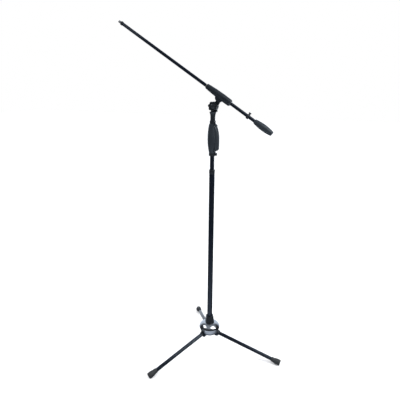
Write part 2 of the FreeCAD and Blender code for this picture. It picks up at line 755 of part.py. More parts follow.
def knob():
    """Lobed clamping knob with its bolt and washer."""
    back = D["disc_near"] - 1.0
    front = back - D["knob_depth"]
    pivot = D["pivot_height"]
    lobe_radius = D["knob_radius"] * 0.3
    lobe_circle = D["knob_radius"] - lobe_radius
    core = cylinder("knob_core", D["knob_radius"] * 0.84, D["knob_depth"], y=front, z=pivot, axis="Y")
    lobes = []
    for index in range(int(D["knob_lobes"].value)):
        angle = 2 * math.pi * (index + 0.3) / D["knob_lobes"].value
        lobes.append(cylinder("knob_lobe%d" % index, lobe_radius, D["knob_depth"],
                              x=lobe_circle * math.cos(angle), y=front,
                              z=pivot + lobe_circle * math.sin(angle), axis="Y"))
    hole = cylinder("knob_hole", D["bolt_radius"] + 0.02, 30.0, y=front + 4.0, z=pivot, axis="Y")
    dish = cylinder("knob_dish", D["knob_radius"] * 0.45, 1.5, y=front - 0.1, z=pivot, axis="Y")
    finished(cut("knob", fuse("knob_blank", core, *lobes), hole, dish), "tilt_knob")
    bolt = cylinder("pivot_bolt_blank", D["bolt_radius"], D["ear_far"] + 1.5 - front - 4.1,
                    y=front + 4.1, z=pivot, axis="Y")
    finished(bolt, "pivot_bolt")
    finished(disc_across_y("knob_washer_disc", 9.5, back + 0.05, D["disc_near"] - 0.05),
             "knob_washer")


# ---------------------------------------------------------------- boom

def clamp():
    """The tapered sleeve on its stem and disc; the boom runs along Z in this frame."""
    bore = D["boom_radius"] + D["play"] + D["bush_wall"] + D["play"]
    tail = -D["sleeve_tail"]
    thick = D["sleeve_thick"]
    thin = D["sleeve_thin"]
    tip = D["sleeve_tip"]
    full = tail + 35.0
    sleeve = turned("sleeve", [
        (bore, tail),
        (thick - 5.0, tail, 7.5, 1),
        (thick - 0.6, tail + 7.5),
        (thick, full, 885.0, 1),
        (thin, tip - 2.6, 4.0, 1),
        (thin - 1.0, tip),
        (bore, tip)])
    reach = -D["boom_offset"]
    boss = padded("boss", [(-6.0, -24.0), (-6.0, 12.0), (-14.0, 11.0), (-20.0, 6.5), (-22.5, 2.0),
                           (-22.5, -13.0), (-17.5, -18.5)], 19.0, plane="XZ_Plane", offset=-9.5)
    stem = padded("clamp_stem", [(reach, -15.0), (-18.0, -14.0), (-18.0, 1.5), (reach, 6.5)],
                  D["disc_far"] - D["disc_near"], plane="XZ_Plane", offset=-D["disc_far"])
    disc = cylinder("clamp_disc", D["disc_radius"], D["disc_far"] - D["disc_near"], x=reach,
                    y=D["disc_near"], axis="Y")
    bore_tool = cylinder("sleeve_bore", bore, 200.0, z=-100.0)
    bolt_hole = cylinder("clamp_hole", D["bolt_radius"] + D["play"], 60.0, x=reach, y=-30.0, axis="Y")
    blank = fuse("clamp_blank", sleeve, boss, stem, disc)
    finished(cut("clamp", blank, bore_tool, bolt_hole), "boom_clamp", BOOM)

    bush_bore = D["boom_radius"] + D["play"]
    bush = ring("bush", bush_bore + D["bush_wall"], bush_bore, tail + 0.5, D["sleeve_tip"] + 0.8)
    finished(bush, "boom_bush", BOOM)
    end = ring("end_ring", thick - 4.8, bush_bore + 0.3, tail - 1.6, tail - 0.05)
    finished(end, "clamp_end_ring", BOOM)


def boom():
    """Boom tube with its threaded tip, stop clip and counterweight."""
    tip = D["boom_tip"] - D["tip_collar_length"]
    tail = -D["boom_tail"]
    radius = D["boom_radius"]
    finished(pipe("boom_pipe", radius, D["boom_wall"], tail + 4.0, tip), "boom_tube", BOOM)
    plug_radius = radius - D["boom_wall"] - 0.05
    collar = turned("tip_collar_body", [
        (0.0, tip - 16.0),
        (plug_radius, tip - 16.0),
        (plug_radius, tip + 0.1),
        (D["tip_collar_radius"] - 0.4, tip + 0.1),
        (D["tip_collar_radius"], tip + 0.6),
        (D["tip_collar_radius"], D["boom_tip"] - 1.0),
        (D["tip_collar_radius"] - 1.0, D["boom_tip"]),
        (3.05, D["boom_tip"]),
        (3.05, tip - 8.0),
        (0.0, tip - 8.0)])
    finished(collar, "tip_collar", BOOM)
    stud = turned("stud", [
        (0.0, tip - 7.9),
        (3.0, tip - 7.9),
        (3.0, D["boom_tip"] + 0.1),
        (D["stud_radius"], D["boom_tip"] + 0.1),
        (D["stud_radius"], D["boom_tip"] + D["stud_length"] - 0.8),
        (D["stud_radius"] - 0.8, D["boom_tip"] + D["stud_length"]),
        (0.0, D["boom_tip"] + D["stud_length"])])
    finished(stud, "tip_stud", BOOM)
    clip()
    counterweight(tail)


def clip():
    """Cable clip: a ring with a lug below, and a thumb screw above."""
    middle = -D["clip_place"]
    low = middle - D["clip_length"] / 2 + 2.0
    length = D["clip_length"] - 4.0
    band = cylinder("clip_band", 8.4, length, z=low)
    lug = cylinder("clip_lug", 3.6, length, x=-7.2, z=low)
    boss = cylinder("clip_boss", 3.8, 9.6, z=middle, axis="X")
    bore = cylinder("clip_bore", D["boom_radius"] + 0.05, 40.0, z=middle - 20.0)
    hole = cylinder("clip_hole", 2.06, 30.0, z=middle, axis="X")
    slit = box("clip_slit", (-16.0, 0.0), (-0.7, 0.7), (low - 1.0, low + length + 1.0))
    finished(cut("clip", fuse("clip_blank", band, lug, boss), bore, hole, slit), "cable_clip", BOOM)
    shank = cylinder("clip_shank", 2.0, 6.0, x=6.8, z=middle, axis="X")
    throat = cylinder("clip_throat", 3.0, 2.2, x=9.8, z=middle, axis="X")
    wing = box("clip_wing", (11.6, 16.2), (-2.4, 2.4), (middle - 5.0, middle + 5.0))
    rim = cylinder("clip_head_round", 5.2, 4.6, x=11.6, z=middle, axis="X")
    finished(fuse("clip_screw_blank", shank, throat, common("clip_head", wing, rim)), "clip_screw",
             BOOM)


def counterweight(tail):
    """A steel core on the boom's end inside a moulded cover."""
    start = tail + D["weight_length"]
    belly = tail + D["weight_length"] * 0.49
    hole = D["boom_radius"] + 0.05
    widest = D["weight_radius"]
    narrowing = 4.2
    core_radius = widest - 3.9
    cover = turned("cover", [
        (0.0, tail),
        (widest - narrowing - 2.0, tail, 2.0, 1),
        (widest - narrowing, tail + 2.0, swell(narrowing, belly - tail - 2.0), 1),
        (widest, belly, swell(narrowing, start - 1.0 - belly), 1),
        (widest - narrowing, start - 1.0),
        (widest - narrowing - 1.0, start),
        (hole, start),
        (hole, start - 14.0),
        (core_radius, start - 18.0),
        (core_radius, tail + 12.0),
        (hole, tail + 6.0),
        (hole, tail + 3.9),
        (0.0, tail + 3.9)])
    finished(cover, "counterweight_cover", BOOM)
    core = turned("core", [
        (hole, tail + 12.2),
        (core_radius - 0.1, tail + 12.2),
        (core_radius - 0.1, start - 18.2),
        (hole, start - 14.6)])
    finished(core, "counterweight_core", BOOM)


# ---------------------------------------------------------------- assembly

def centre_on_floor():
    """Move the whole stand along X, so that its bounding box has its middle over the origin."""
    doc.recompute()
    bounds = [item.Shape.optimalBoundingBox(False) for item in PARTS]
    middle = (min(b.XMin for b in bounds) + max(b.XMax for b in bounds)) / 2
    step = FreeCAD.Placement(FreeCAD.Vector(-middle, 0, 0), FreeCAD.Rotation())
    for item in PARTS:
        moved(item, step)
    print("the post stands at x = %.4f mm" % -middle)


def check_and_write():
    """Stop on any failed feature or bad shape, then write one STEP file for each sub-part."""
    doc.recompute()
    for item in doc.Objects:
        if "Invalid" in item.State or "Error" in item.State:
            raise RuntimeError("%s did not build: %s" % (item.Name, item.State))
    for item in PARTS:
        if item.Shape.isNull() or not item.Shape.isValid() or not item.Shape.Solids:
            raise RuntimeError("%s has no valid solid" % item.Label)
    os.makedirs("parts", exist_ok=True)
    for item in PARTS:
        item.Shape.exportStep(os.path.join("parts", item.Label + ".step"))
        print("%-22s %d solid, %8.0f mm3" % (item.Label, len(item.Shape.Solids), item.Shape.Volume))


D = write_sheet()
PARTS = []

leg_fall = (D["leg_apex"].value - D["foot_height"].value) / D["leg_reach"].value
leg_angle = math.atan(leg_fall)
hinge_drop = D["hinge_drop"].value
hinge_radius = D["hinge_reach"].value - hinge_drop * math.sin(leg_angle)
hinge_height = (D["leg_apex"].value - leg_fall * D["hinge_reach"].value
                - hinge_drop * math.cos(leg_angle))
HINGE = FreeCAD.Placement(FreeCAD.Vector(hinge_radius, 0, hinge_height),
                          FreeCAD.Rotation(WORLD_Y, math.degrees(leg_angle)))
LEG_LENGTH = (D["leg_reach"] - D["hinge_reach"]) / math.cos(leg_angle)

elevation = math.radians(D["boom_elevation"].value)
boom_offset = D["boom_offset"].value
BOOM = FreeCAD.Placement(
    FreeCAD.Vector(boom_offset * math.sin(elevation), 0,
                   D["pivot_height"].value + boom_offset * math.cos(elevation)),
    FreeCAD.Rotation(WORLD_Y, D["boom_elevation"].value - 90))

hub()
boot()
for leg_index in LEGS:
    bracket(leg_index)
    leg(leg_index)
leg_pins()
post()
brake()
grip()
lever()
neck()
knob()
clamp()
boom()
centre_on_floor()
check_and_write()
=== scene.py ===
"""Looks of the boom microphone stand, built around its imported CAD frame. Sizes are in metres."""

import math

import bmesh
import bpy
import numpy as np
from mathutils import Matrix, Vector


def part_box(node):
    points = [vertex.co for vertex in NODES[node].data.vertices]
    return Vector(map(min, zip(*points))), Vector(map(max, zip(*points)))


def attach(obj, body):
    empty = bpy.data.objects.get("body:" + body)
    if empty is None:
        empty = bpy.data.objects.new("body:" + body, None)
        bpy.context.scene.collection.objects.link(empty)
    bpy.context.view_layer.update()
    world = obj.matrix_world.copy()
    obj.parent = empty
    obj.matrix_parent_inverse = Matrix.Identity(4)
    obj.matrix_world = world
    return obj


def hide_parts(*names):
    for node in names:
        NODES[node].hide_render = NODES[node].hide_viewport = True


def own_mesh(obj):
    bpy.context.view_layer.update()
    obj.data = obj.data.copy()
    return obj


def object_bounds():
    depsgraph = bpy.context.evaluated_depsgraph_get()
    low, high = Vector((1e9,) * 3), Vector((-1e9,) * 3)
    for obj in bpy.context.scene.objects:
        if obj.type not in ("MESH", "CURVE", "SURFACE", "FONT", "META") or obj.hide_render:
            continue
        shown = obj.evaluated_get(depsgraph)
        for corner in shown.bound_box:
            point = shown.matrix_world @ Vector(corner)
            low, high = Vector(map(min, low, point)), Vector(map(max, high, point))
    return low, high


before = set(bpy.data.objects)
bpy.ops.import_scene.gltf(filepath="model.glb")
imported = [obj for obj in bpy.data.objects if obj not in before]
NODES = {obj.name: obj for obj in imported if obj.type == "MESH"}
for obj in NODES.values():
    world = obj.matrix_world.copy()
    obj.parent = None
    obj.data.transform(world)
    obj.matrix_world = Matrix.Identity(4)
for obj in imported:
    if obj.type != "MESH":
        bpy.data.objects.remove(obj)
cad_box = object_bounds()
MM = 0.001
CREASE = math.radians(35)


# ---------------------------------------------------------------- measuring the frame

def cloud(node):
    """The distinct points of a CAD node."""
    flat = np.array([tuple(vertex.co) for vertex in NODES[node].data.vertices])
    return np.unique(np.round(flat, 7), axis=0)


def long_axis(node):
    """Placement at the middle of a straight round node, with Z along it."""
    points = cloud(node)
    middle = points.mean(axis=0)
    spread = np.linalg.eigh(np.cov((points - middle).T))[1]
    along = Vector(spread[:, 2])
    return Matrix.Translation(Vector(middle)) @ along.to_track_quat("Z", "Y").to_matrix().to_4x4()


def extent(node, place):
    """Lowest and highest height of a node along a placement's Z, and its largest radius about it."""
    points = np.c_[cloud(node), np.ones(len(cloud(node)))]
    local = points @ np.array(place.inverted()).T
    radius = np.hypot(local[:, 0], local[:, 1]).max()
    return local[:, 2].min(), local[:, 2].max(), radius


def middle_of(node):
    low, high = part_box(node)
    return (Vector(low) + Vector(high)) / 2


# ---------------------------------------------------------------- mesh building

def soften(corners, steps=6):
    """The points of an outline whose corners are (radius, height, rounding)."""
    points = []
    for index, (radius, height, rounding) in enumerate(corners):
        here = Vector((radius, height))
        if not rounding:
            points.append(here)
            continue
        before = (Vector(corners[index - 1][:2]) - here).normalized()
        after = (Vector(corners[index + 1][:2]) - here).normalized()
        half = before.angle(after) / 2
        centre = here + (before + after).normalized() * (rounding / math.sin(half))
        start = here + before * (rounding / math.tan(half)) - centre
        turn = math.pi - 2 * half
        side = 1 if before.x * after.y - before.y * after.x < 0 else -1
        for step in range(steps + 1):
            angle = side * turn * step / steps
            cosine, sine = math.cos(angle), math.sin(angle)
            points.append(centre + Vector((start.x * cosine - start.y * sine,
                                           start.x * sine + start.y * cosine)))
    return points[:1] + [point for last, point in zip(points, points[1:])
                         if (point - last).length > 1e-4 * MM]


def lathe(name, outline, place, count=96, shape=None):
    """A closed solid turned about a placement's Z; shape(angle, radius, height) bends its radius."""
    mesh = bmesh.new()
    rings = []
    for radius, height in outline:
        if radius < 1e-7:
            rings.append([mesh.verts.new(place @ Vector((0, 0, height)))])
            continue
        ring = []
        for step in range(count):
            angle = 2 * math.pi * step / count
            reach = shape(angle, radius, height) if shape else radius
            ring.append(mesh.verts.new(
                place @ Vector((reach * math.cos(angle), reach * math.sin(angle), height))))
        rings.append(ring)
    pairs = list(zip(rings, rings[1:]))
    if len(rings[0]) > 1:
        pairs.append((rings[-1], rings[0]))
    for first, second in pairs:
        for step in range(count):
            after = (step + 1) % count
            if len(first) == 1:
                corners = (first[0], second[after], second[step])
            elif len(second) == 1:
                corners = (first[step], first[after], second[0])
            else:
                corners = (first[step], first[after], second[after], second[step])
            mesh.faces.new(corners)
    return finish_mesh(name, mesh)


def finish_mesh(name, mesh):
    """Turn a bmesh into an object that is smooth except along its sharp edges."""
    bmesh.ops.recalc_face_normals(mesh, faces=mesh.faces)
    for face in mesh.faces:
        face.smooth = True
    for edge in mesh.edges:
        edge.smooth = edge.calc_face_angle(0) < CREASE
    data = bpy.data.meshes.new(name)
    mesh.to_mesh(data)
    mesh.free()
    piece = bpy.data.objects.new(name, data)
    bpy.context.collection.objects.link(piece)
    return piece


def stand_in(piece, node, body, slot):
    """Show a piece in place of a CAD node."""
    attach(piece, body)
    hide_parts(node)
    dress(piece, slot)


def round_edges(node, width, held):
    """Join a CAD node's faces, merge the flat ones and round its sharp edges; held keeps slivers whole."""
    piece = NODES[node]
    weld = piece.modifiers.new("weld", "WELD")
    weld.merge_threshold = 1e-6
    flat = piece.modifiers.new("flat", "DECIMATE")
    flat.decimate_type = "DISSOLVE"
    flat.angle_limit = math.radians(0.2)
    soft = piece.modifiers.new("soft", "BEVEL")
    soft.width = width * MM
    soft.segments = 3
    soft.limit_method = "ANGLE"
    soft.angle_limit = CREASE
    soft.use_clamp_overlap = held
    soft.harden_normals = True


# ---------------------------------------------------------------- materials

class Graph:
    """A node tree under construction; each method adds nodes and gives back their result."""

    def __init__(self, tree):
        self.tree = tree
        tree.nodes.clear()

    def node(self, kind, **inputs):
        item = self.tree.nodes.new("ShaderNode" + kind)
        for key, value in inputs.items():
            self.feed(item.inputs[key.replace("_", " ")], value)
        return item

    def feed(self, socket, value):
        if isinstance(value, bpy.types.NodeSocket):
            self.tree.links.new(value, socket)
        else:
            socket.default_value = value

    def calc(self, operation, first, second=0.0):
        item = self.node("Math")
        item.operation = operation
        self.feed(item.inputs[0], first)
        self.feed(item.inputs[1], second)
        return item.outputs[0]

    def vector(self, operation, first, second=None):
        item = self.node("VectorMath")
        item.operation = operation
        self.feed(item.inputs[0], first)
        if second is not None:
            self.feed(item.inputs[1], second)
        return item.outputs["Value" if operation in ("DOT_PRODUCT", "LENGTH") else "Vector"]

    def span(self, value, low, high, to_low=0.0, to_high=1.0):
        """Carry low..high smoothly to to_low..to_high, and hold it beyond them."""
        item = self.node("MapRange", Value=value)
        for key, number in (("From Min", low), ("From Max", high), ("To Min", to_low), ("To Max", to_high)):
            item.inputs[key].default_value = number
        item.interpolation_type = "SMOOTHSTEP"
        return item.outputs["Result"]

    def mix(self, share, first, second):
        item = self.node("Mix")
        item.data_type = "RGBA"
        self.feed(item.inputs["Factor"], share)
        for socket, colour in zip([s for s in item.inputs if s.type == "RGBA"], (first, second)):
            self.feed(socket, colour)
        return [s for s in item.outputs if s.type == "RGBA"][0]

    def tinted(self, value, tint):
        """A colour from one brightness and its share in red, green and blue."""
        item = self.node("CombineColor")
        for socket, share in zip(item.inputs, tint):
            self.feed(socket, self.calc("MULTIPLY", value, share))
        return item.outputs[0]


class Shader(Graph):
    """A Principled material under construction."""

    def __init__(self, name):
        self.material = bpy.data.materials.new(name)
        self.material.use_nodes = True
        super().__init__(self.material.node_tree)
        self.surface = self.node("BsdfPrincipled")
        self.node("OutputMaterial", Surface=self.surface.outputs["BSDF"])
        self.place = self.node("TexCoord").outputs["Object"]

    def set(self, **inputs):
        for key, value in inputs.items():
            self.feed(self.surface.inputs[key.replace("_", " ")], value)

    def noise(self, scale, detail=3.0, vector=None, roughness=0.5):
        item = self.node("TexNoise", Vector=vector or self.place, Scale=scale, Detail=detail,
                         Roughness=roughness)
        return item.outputs["Fac"]

    def cells(self, scale, feature="F1"):
        item = self.node("TexVoronoi", Vector=self.place, Scale=scale)
        item.feature = feature
        return item.outputs["Distance"]

    def stretched(self, factors):
        return self.vector("MULTIPLY", self.place, factors)

    def bump(self, height, distance, below=None):
        """A bump of a distance in millimetres, on top of another one."""
        item = self.node("Bump", Height=height, Distance=distance * MM, Strength=1.0)
        if below:
            self.feed(item.inputs["Normal"], below)
        return item.outputs["Normal"]

    def edges(self, radius):
        """1 along sharp edges, 0 on flat and gently curved faces; the radius is in millimetres."""
        bevel = self.node("Bevel", Radius=radius * MM)
        bevel.samples = 6
        plain = self.node("NewGeometry").outputs["Normal"]
        return self.span(self.vector("DOT_PRODUCT", bevel.outputs["Normal"], plain), 0.985, 0.93)

    def upward(self):
        """1 on faces that look up, where dust settles."""
        split = self.node("SeparateXYZ", Vector=self.node("NewGeometry").outputs["Normal"])
        return self.span(split.outputs["Z"], 0.35, 0.95)


def rgb(red, green, blue):
    return (red, green, blue, 1.0)


def painted_tube(name, ior):
    """Glossy black powder coat over steel: orange peel, handling marks, bare metal at the edges."""
    s = Shader(name)
    cloudy = s.noise(35, 4)
    scuffs = s.span(s.noise(900, 2, s.stretched((1, 1, 0.04))), 0.66, 0.78)
    worn = s.calc("MULTIPLY", s.edges(0.5), s.span(s.noise(240, 4), 0.45, 0.6))
    paint = s.mix(cloudy, rgb(0.0022, 0.0032, 0.0062), rgb(0.0038, 0.0054, 0.0100))
    dusty = s.calc("MULTIPLY", s.upward(), s.span(s.noise(420, 5), 0.5, 0.72, 0.0, 0.025))
    s.set(Base_Color=s.mix(worn, s.mix(dusty, paint, rgb(0.16, 0.16, 0.17)), rgb(0.3, 0.3, 0.31)),
          Metallic=worn, Roughness=s.calc("ADD", s.span(cloudy, 0.3, 0.7, 0.17, 0.24),
                                         s.calc("MULTIPLY", scuffs, 0.1)),
          IOR=ior, Specular_Tint=rgb(0.70, 0.84, 1.0))
    peel = s.bump(s.noise(520, 2), 0.010)
    s.set(Normal=s.bump(s.noise(2600, 2), 0.0025, peel))
    return s.material


def moulded(name, dark, light, roughness, grain, depth):
    """Moulded plastic: spark-eroded grain, uneven gloss, edges rubbed pale."""
    s = Shader(name)
    cloudy = s.noise(28, 5)
    pits = s.cells(grain, "SMOOTH_F1")
    fine = s.noise(grain * 2.3, 3)
    rubbed = s.calc("MULTIPLY", s.edges(0.7), s.span(s.noise(170, 5), 0.35, 0.65, 0.1, 0.75))
    base = s.mix(cloudy, rgb(*dark), rgb(*light))
    speck = s.span(fine, 0.4, 0.7, 0.0, 0.25)
    shade = s.mix(speck, base, rgb(*[c * 1.7 for c in light]))
    pale = rgb(*[c * 2.6 for c in light])
    s.set(Base_Color=s.mix(rubbed, shade, pale),
          Roughness=s.calc("SUBTRACT", s.span(cloudy, 0.25, 0.75, roughness - 0.04, roughness + 0.06),
                          s.calc("MULTIPLY", rubbed, 0.1)),
          Specular_IOR_Level=0.5, Specular_Tint=rgb(0.82, 0.92, 1.0))
    grainy = s.bump(pits, depth)
    s.set(Normal=s.bump(fine, depth * 0.5, grainy))
    return s.material


def polished(name, dark, light, roughness, marks, depth, centre):
    """Metal polished in a lathe: fine rings about a vertical axis, smudges, tiny pits."""
    s = Shader(name)
    offset = s.vector("SUBTRACT", s.place, centre)
    reach = s.vector("LENGTH", s.vector("MULTIPLY", offset, (1, 1, 0)))
    height = s.node("SeparateXYZ", Vector=s.place).outputs["Z"]
    radial = s.node("CombineXYZ", X=reach, Y=height)
    lines = s.noise(marks, 4, radial.outputs["Vector"], 0.7)
    smudge = s.noise(55, 5)
    pits = s.span(s.cells(700), 0.0, 0.12, 1.0, 0.0)
    s.set(Base_Color=s.mix(s.span(smudge, 0.35, 0.7), rgb(*dark), rgb(*light)), Metallic=1.0,
          Roughness=s.calc("ADD", s.span(smudge, 0.3, 0.75, roughness, roughness * 1.5),
                          s.calc("MULTIPLY", lines, roughness * 0.3)))
    ringed = s.bump(lines, depth)
    wavy = s.bump(s.noise(60, 2), depth * 6, ringed)
    s.set(Normal=s.bump(pits, -depth * 1.5, wavy))
    return s.material


def plain_metal(name, colour, roughness, scratch=0.004):
    """Zinc-plated or chromed small parts: crossed fine scratches and uneven plating."""
    s = Shader(name)
    cloudy = s.noise(130, 4)
    lines = s.noise(1500, 3, s.stretched((1, 1, 0.08)))
    cross = s.noise(1500, 3, s.stretched((0.08, 1, 1)))
    dull = rgb(*[c * 0.8 for c in colour])
    s.set(Base_Color=s.mix(cloudy, dull, rgb(*colour)), Metallic=1.0,
          Roughness=s.span(cloudy, 0.3, 0.7, roughness, roughness * 1.6))
    s.set(Normal=s.bump(cross, scratch, s.bump(lines, scratch)))
    return s.material


def rubber():
    """Matt rubber: fine stipple, chalky bloom on the edges and dust on top."""
    s = Shader("foot_rubber")
    cloudy = s.noise(60, 5)
    stipple = s.noise(2400, 3)
    bloom = s.calc("MULTIPLY", s.edges(1.0), s.span(s.noise(300, 5), 0.35, 0.65, 0.0, 0.5))
    dusty = s.calc("MULTIPLY", s.upward(), s.span(s.noise(500, 5), 0.4, 0.7, 0.0, 0.2))
    base = s.mix(cloudy, rgb(0.009, 0.011, 0.014), rgb(0.016, 0.019, 0.023))
    s.set(Base_Color=s.mix(dusty, s.mix(bloom, base, rgb(0.07, 0.072, 0.075)), rgb(0.11, 0.105, 0.1)),
          Roughness=s.span(stipple, 0.3, 0.7, 0.5, 0.68), Specular_IOR_Level=0.45)
    s.set(Normal=s.bump(s.noise(420, 3), 0.02, s.bump(stipple, 0.012)))
    return s.material


def nylon():
    """Natural nylon: milky, slightly waxy, with faint flow marks."""
    s = Shader("nylon")
    flow = s.noise(90, 4, s.stretched((1, 1, 0.3)))
    s.set(Base_Color=s.mix(flow, rgb(0.56, 0.54, 0.47), rgb(0.68, 0.66, 0.60)),
          Roughness=s.span(flow, 0.3, 0.7, 0.38, 0.5), Subsurface_Weight=0.25, Subsurface_Scale=0.002,
          Subsurface_Radius=(1.0, 0.9, 0.7))
    s.set(Normal=s.bump(s.noise(1800, 3), 0.006))
    return s.material


post_middle = middle_of("outer_tube")
MATERIALS = {
    "tube_black": painted_tube("tube_black", 1.52),
    # A copy of the tube paint with weaker reflections: painted shade that makes the boom read darker than
    # the legs.
    "shaded_boom_paint": painted_tube("shaded_boom_paint", 1.33),
    "moulded_slate": moulded("moulded_slate", (0.0085, 0.0115, 0.0155), (0.013, 0.017, 0.0225), 0.38,
                             1500, 0.018),
    # A darker copy of moulded_slate for the boom clamp: painted shade for the lower light that falls on it.
    "shaded_clamp_slate": moulded("shaded_clamp_slate", (0.0042, 0.0058, 0.0082), (0.0068, 0.0090, 0.0125), 0.34,
                           1500, 0.018),
    "black_plastic": moulded("black_plastic", (0.0055, 0.0065, 0.0085), (0.009, 0.0105, 0.013), 0.30,
                             1900, 0.010),
    "polished_zinc": polished("polished_zinc", (0.45, 0.475, 0.51), (0.57, 0.595, 0.63), 0.11, 1500,
                              0.0018, (post_middle.x, post_middle.y, 0.0)),
    "bowl_silver": polished("bowl_silver", (0.40, 0.425, 0.47), (0.49, 0.52, 0.565), 0.26, 1100,
                            0.005, (post_middle.x, post_middle.y, 0.0)),
    "steel": plain_metal("steel", (0.52, 0.52, 0.53), 0.28),
    "spring_steel": plain_metal("spring_steel", (0.38, 0.38, 0.40), 0.3),
    "bright_ring": plain_metal("bright_ring", (0.62, 0.63, 0.65), 0.16, 0.002),
    "foot_rubber": rubber(),
    "nylon": nylon(),
}


def dress(piece, slot):
    """Give every material slot of a piece the finish of a record slot."""
    if not piece.material_slots:
        piece.data.materials.append(MATERIALS[slot])
    for item in piece.material_slots:
        item.material = MATERIALS[slot]


# ---------------------------------------------------------------- pieces that stand for CAD nodes

def foot(number):
    """A ribbed rubber cup on the end of a leg tube, worn flat where it stands."""
    place = long_axis("leg_tube_%d" % number)
    node = "foot_%d" % number
    if (place.inverted() @ middle_of(node)).z < 0:
        place = place @ Matrix.Rotation(math.pi, 4, "X")
    bottom, top, radius = extent(node, place)
    tube_end = extent("leg_tube_%d" % number, place)[1]
    bore = extent("leg_tube_%d" % number, place)[2] + 0.05 * MM
    length = top - bottom
    groove = 0.55 * MM
    ridge_pitch = 3.4 * MM
    rim_pitch = 2.6 * MM
    corners = [(0.0, tube_end + 0.2 * MM, 0.0), (bore, tube_end + 0.2 * MM, 0.0), (bore, bottom, 0.0),
               (bore + 1.9 * MM, bottom, 0.8 * MM), (bore + 2.1 * MM, bottom + 3.2 * MM, 0.5 * MM)]
    start = bottom + 3.6 * MM
    for ridge in range(3):
        base = start + ridge * ridge_pitch
        swell = bore + (1.7 + 0.35 * ridge) * MM
        corners += [(swell - groove, base, 0.3 * MM), (swell - groove, base + 0.9 * MM, 0.3 * MM),
                    (swell + 0.2 * MM, base + 1.1 * MM, 0.3 * MM),
                    (swell + 0.35 * MM, base + 3.1 * MM, 0.3 * MM)]
    corners += [(radius - 0.1 * MM, bottom + length * 0.58, 6 * MM),
                (radius, top - 8.6 * MM, 1.0 * MM)]
    for ridge in range(2):
        base = top - 8.2 * MM + rim_pitch * ridge
        corners += [(radius - groove, base, 0.25 * MM), (radius - groove, base + 0.7 * MM, 0.25 * MM),
                    (radius, base + 1.0 * MM, 0.25 * MM), (radius, base + 2.3 * MM, 0.25 * MM)]
    corners += [(radius, top, 2.2 * MM), (radius * 0.55, top, 0.6 * MM),
                (radius * 0.5, top - 0.8 * MM, 0.6 * MM), (0.0, top - 0.8 * MM, 0.0)]
    piece = lathe("foot_%d_rubber" % number, soften(corners, 4), place, 96)
    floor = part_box(node)[0][2]
    for vertex in piece.data.vertices:
        vertex.co.z = max(vertex.co.z, floor)
    stand_in(piece, node, "leg_%d" % number, "foot_rubber")


def threaded_stud():
    """The microphone thread, 16 turns to the inch, chamfered at its end."""
    pitch = 25.4 / 16 * MM
    place = long_axis("boom_tube")
    if (place.inverted() @ middle_of("tip_stud")).z < 0:
        place = place @ Matrix.Rotation(math.pi, 4, "X")
    bottom, top, radius = extent("tip_stud", place)
    shoulder = extent("tip_collar", place)[1]
    depth = 0.62 * pitch
    shank = 3.0 * MM

    def flank(angle, reach, height):
        if height < shoulder:
            return reach
        phase = (height / pitch - angle / (2 * math.pi)) % 1.0
        ridge = min(1.0, max(0.0, 1.25 - abs(phase - 0.5) * 3.1))
        chamfer = radius - max(0.0, height - (top - 1.3 * MM)) * 0.9
        return min(radius - depth * (1 - ridge), chamfer)

    steps = 150
    start = shoulder + 0.15 * MM
    outline = [(0.0, bottom), (shank, bottom), (shank, start - 0.05 * MM)]
    outline += [(radius, start + (top - start) * step / steps) for step in range(steps + 1)]
    outline += [(0.0, top)]
    piece = lathe("tip_stud_thread", outline, place, 72, flank)
    stand_in(piece, "tip_stud", "boom", "bright_ring")


def return_spring():
    """The coil spring round the release rod, with closed end coils."""
    bottom, top = (corner[2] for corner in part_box("rod_spring"))
    reach = np.hypot(*(cloud("rod_spring")[:, :2] - (post_middle.x, post_middle.y)).T)
    wire = (reach.max() - reach.min()) / 2
    coil = (reach.max() + reach.min()) / 2
    turns, around, steps = 8, 12, 40
    closed = 2.1 * wire  # rise of one closed coil
    rise = top - bottom - 2 * wire

    def height_at(turn):
        if turn < 1:
            return closed * turn
        if turn > turns - 1:
            return rise - closed * (turns - turn)
        return closed + (rise - 2 * closed) * (turn - 1) / (turns - 2)

    mesh = bmesh.new()
    rings = []
    for step in range(turns * steps + 1):
        turn = step / steps
        outward = Vector((math.cos(2 * math.pi * turn), math.sin(2 * math.pi * turn), 0))
        centre = Vector((post_middle.x, post_middle.y, bottom + wire + height_at(turn))) + outward * coil
        ring = []
        for corner in range(around):
            angle = 2 * math.pi * corner / around
            side = outward * math.cos(angle) + Vector((0, 0, math.sin(angle)))
            ring.append(mesh.verts.new(centre + side * wire))
        rings.append(ring)
    for lower, upper in zip(rings, rings[1:]):
        for corner in range(around):
            after = (corner + 1) % around
            mesh.faces.new((lower[corner], lower[after], upper[after], upper[corner]))
    mesh.faces.new(rings[0])
    mesh.faces.new(rings[-1])
    piece = finish_mesh("return_spring_coil", mesh)
    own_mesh(piece)
    stand_in(piece, "rod_spring", "head", "spring_steel")


